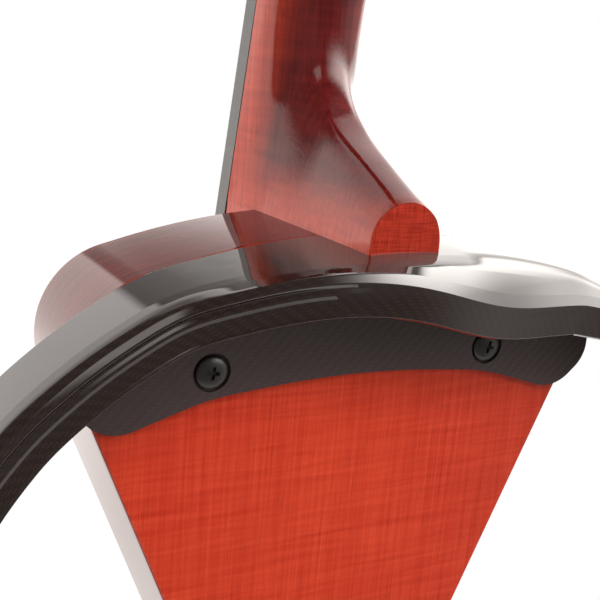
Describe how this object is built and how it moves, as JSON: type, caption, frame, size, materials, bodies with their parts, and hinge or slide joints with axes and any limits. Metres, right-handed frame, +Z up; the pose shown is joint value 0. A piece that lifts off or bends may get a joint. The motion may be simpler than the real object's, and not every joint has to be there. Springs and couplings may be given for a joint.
{
  "type": "electric cello",
  "caption": "Solid-core electric cello with a moulded carbon frame round a slim maple core, on a sliding endpin.",
  "frame": {"origin": "middle of the flat underside of the endpin's rubber foot, with the endpin pushed in", "axes": "+Z up the instrument to the scroll, strings on -Y, the flat back on +Y, treble side on +X"},
  "size_m": [0.44, 0.1876, 1.2515],
  "materials": {
    "maple_red": "red varnished maple, satin gloss",
    "maple_pale": "bare maple, satin",
    "ebony": "black hardwood, satin",
    "carbon_gloss": "clear-coated carbon fibre, high gloss",
    "carbon_matte": "carbon fibre plate, matte",
    "black_steel": "black oxide, satin",
    "steel": "plain steel",
    "rubber": "black rubber",
    "plastic": "black plastic",
    "circuit": "green circuit board",
    "cord": "black braided cord"
  },
  "bodies": {
    "instrument": {"body_core": "maple_red", "carbon_frame": "carbon_gloss", "upper_bracket_plate": "carbon_matte", "lower_bracket_plate": "carbon_matte", "upper_screw_treble": "black_steel", "upper_screw_bass": "black_steel", "lower_screw_treble": "black_steel", "lower_screw_bass": "black_steel", "neck": "maple_red", "fingerboard": "ebony", "nut": "ebony", "bridge": "maple_pale", "bridge_pickup": "black_steel", "saddle": "ebony", "tailpiece": "ebony", "tuner_pivot_pin": "steel", "string_c": "steel", "string_g": "steel", "string_d": "steel", "string_a": "steel", "tail_cord": "cord", "endpin_socket": "black_steel", "volume_pot": "steel", "treble_pot": "steel", "bass_pot": "steel", "output_jack": "steel", "headphone_jack": "steel", "preamp_board": "circuit", "preamp_cover": "plastic", "cover_screw_1": "black_steel", "cover_screw_2": "black_steel", "cover_screw_3": "black_steel", "cover_screw_4": "black_steel", "battery": "plastic", "door_hinge_pin": "steel"},
    "endpin": {"endpin_rod": "steel", "endpin_foot": "rubber"},
    "endpin_thumbscrew": {"endpin_thumbscrew": "black_steel"},
    "peg_c": {"peg_c": "ebony"},
    "peg_g": {"peg_g": "ebony"},
    "peg_d": {"peg_d": "ebony"},
    "peg_a": {"peg_a": "ebony"},
    "tuner_screw_c": {"tuner_screw_c": "steel"},
    "tuner_lever_c": {"tuner_lever_c": "steel"},
    "tuner_screw_g": {"tuner_screw_g": "steel"},
    "tuner_lever_g": {"tuner_lever_g": "steel"},
    "tuner_screw_d": {"tuner_screw_d": "steel"},
    "tuner_lever_d": {"tuner_lever_d": "steel"},
    "tuner_screw_a": {"tuner_screw_a": "steel"},
    "tuner_lever_a": {"tuner_lever_a": "steel"},
    "volume_knob": {"volume_knob": "plastic"},
    "treble_knob": {"treble_knob": "plastic"},
    "bass_knob": {"bass_knob": "plastic"},
    "battery_door": {"battery_door": "plastic"}
  },
  "joints": [
    {"name": "endpin_slide", "type": "slide", "parent": "instrument", "child": "endpin", "axis": [0, 0, -1], "range_m": [0, 0.35]},
    {"name": "endpin_thumbscrew_turn", "type": "hinge", "parent": "instrument", "child": "endpin_thumbscrew", "pos_m": [0, 0, 0.0293], "axis": [1, 0, 0], "range_deg": [-360, 180]},
    {"name": "peg_c_turn", "type": "hinge", "parent": "instrument", "child": "peg_c", "pos_m": [0, 0.0193, 1.09148], "axis": [-1, 0, 0], "range_deg": [-360, 360]},
    {"name": "peg_g_turn", "type": "hinge", "parent": "instrument", "child": "peg_g", "pos_m": [0, 0.02922, 1.13857], "axis": [-1, 0, 0], "range_deg": [-360, 360]},
    {"name": "peg_d_turn", "type": "hinge", "parent": "instrument", "child": "peg_d", "pos_m": [0, 0.0338, 1.15612], "axis": [1, 0, 0], "range_deg": [-360, 360]},
    {"name": "peg_a_turn", "type": "hinge", "parent": "instrument", "child": "peg_a", "pos_m": [0, 0.02262, 1.10919], "axis": [1, 0, 0], "range_deg": [-360, 360]},
    {"name": "tuner_screw_c_travel", "type": "slide", "parent": "instrument", "child": "tuner_screw_c", "axis": [0, -0.9674, -0.2531], "range_m": [0, 0.0035]},
    {"name": "tuner_lever_c_turn", "type": "hinge", "parent": "instrument", "child": "tuner_lever_c", "pos_m": [-0.018, -0.08188, 0.25183], "axis": [-1, 0, 0], "range_deg": [-0.5, 7]},
    {"name": "tuner_screw_g_travel", "type": "slide", "parent": "instrument", "child": "tuner_screw_g", "axis": [0, -0.9674, -0.2531], "range_m": [0, 0.0035]},
    {"name": "tuner_lever_g_turn", "type": "hinge", "parent": "instrument", "child": "tuner_lever_g", "pos_m": [-0.006, -0.08188, 0.25183], "axis": [-1, 0, 0], "range_deg": [-0.5, 7]},
    {"name": "tuner_screw_d_travel", "type": "slide", "parent": "instrument", "child": "tuner_screw_d", "axis": [0, -0.9674, -0.2531], "range_m": [0, 0.0035]},
    {"name": "tuner_lever_d_turn", "type": "hinge", "parent": "instrument", "child": "tuner_lever_d", "pos_m": [0.006, -0.08188, 0.25183], "axis": [-1, 0, 0], "range_deg": [-0.5, 7]},
    {"name": "tuner_screw_a_travel", "type": "slide", "parent": "instrument", "child": "tuner_screw_a", "axis": [0, -0.9674, -0.2531], "range_m": [0, 0.0035]},
    {"name": "tuner_lever_a_turn", "type": "hinge", "parent": "instrument", "child": "tuner_lever_a", "pos_m": [0.018, -0.08188, 0.25183], "axis": [-1, 0, 0], "range_deg": [-0.5, 7]},
    {"name": "volume_knob_turn", "type": "hinge", "parent": "instrument", "child": "volume_knob", "pos_m": [0, 0.019, 0.4663], "axis": [1, 0, 0], "range_deg": [-150, 150]},
    {"name": "treble_knob_turn", "type": "hinge", "parent": "instrument", "child": "treble_knob", "pos_m": [0, 0.019, 0.4323], "axis": [1, 0, 0], "range_deg": [-150, 150]},
    {"name": "bass_knob_turn", "type": "hinge", "parent": "instrument", "child": "bass_knob", "pos_m": [0, 0.019, 0.3983], "axis": [1, 0, 0], "range_deg": [-150, 150]},
    {"name": "battery_door_hinge", "type": "hinge", "parent": "instrument", "child": "battery_door", "pos_m": [0, 0.028, 0.2808], "axis": [-1, 0, 0], "range_deg": [0, 90]}
  ],
  "couplings": [
    {"joint": "tuner_lever_c_turn", "follows": "tuner_screw_c_travel", "rad_per_m": 31.25},
    {"joint": "tuner_lever_g_turn", "follows": "tuner_screw_g_travel", "rad_per_m": 31.25},
    {"joint": "tuner_lever_d_turn", "follows": "tuner_screw_d_travel", "rad_per_m": 31.25},
    {"joint": "tuner_lever_a_turn", "follows": "tuner_screw_a_travel", "rad_per_m": 31.25}
  ]
}
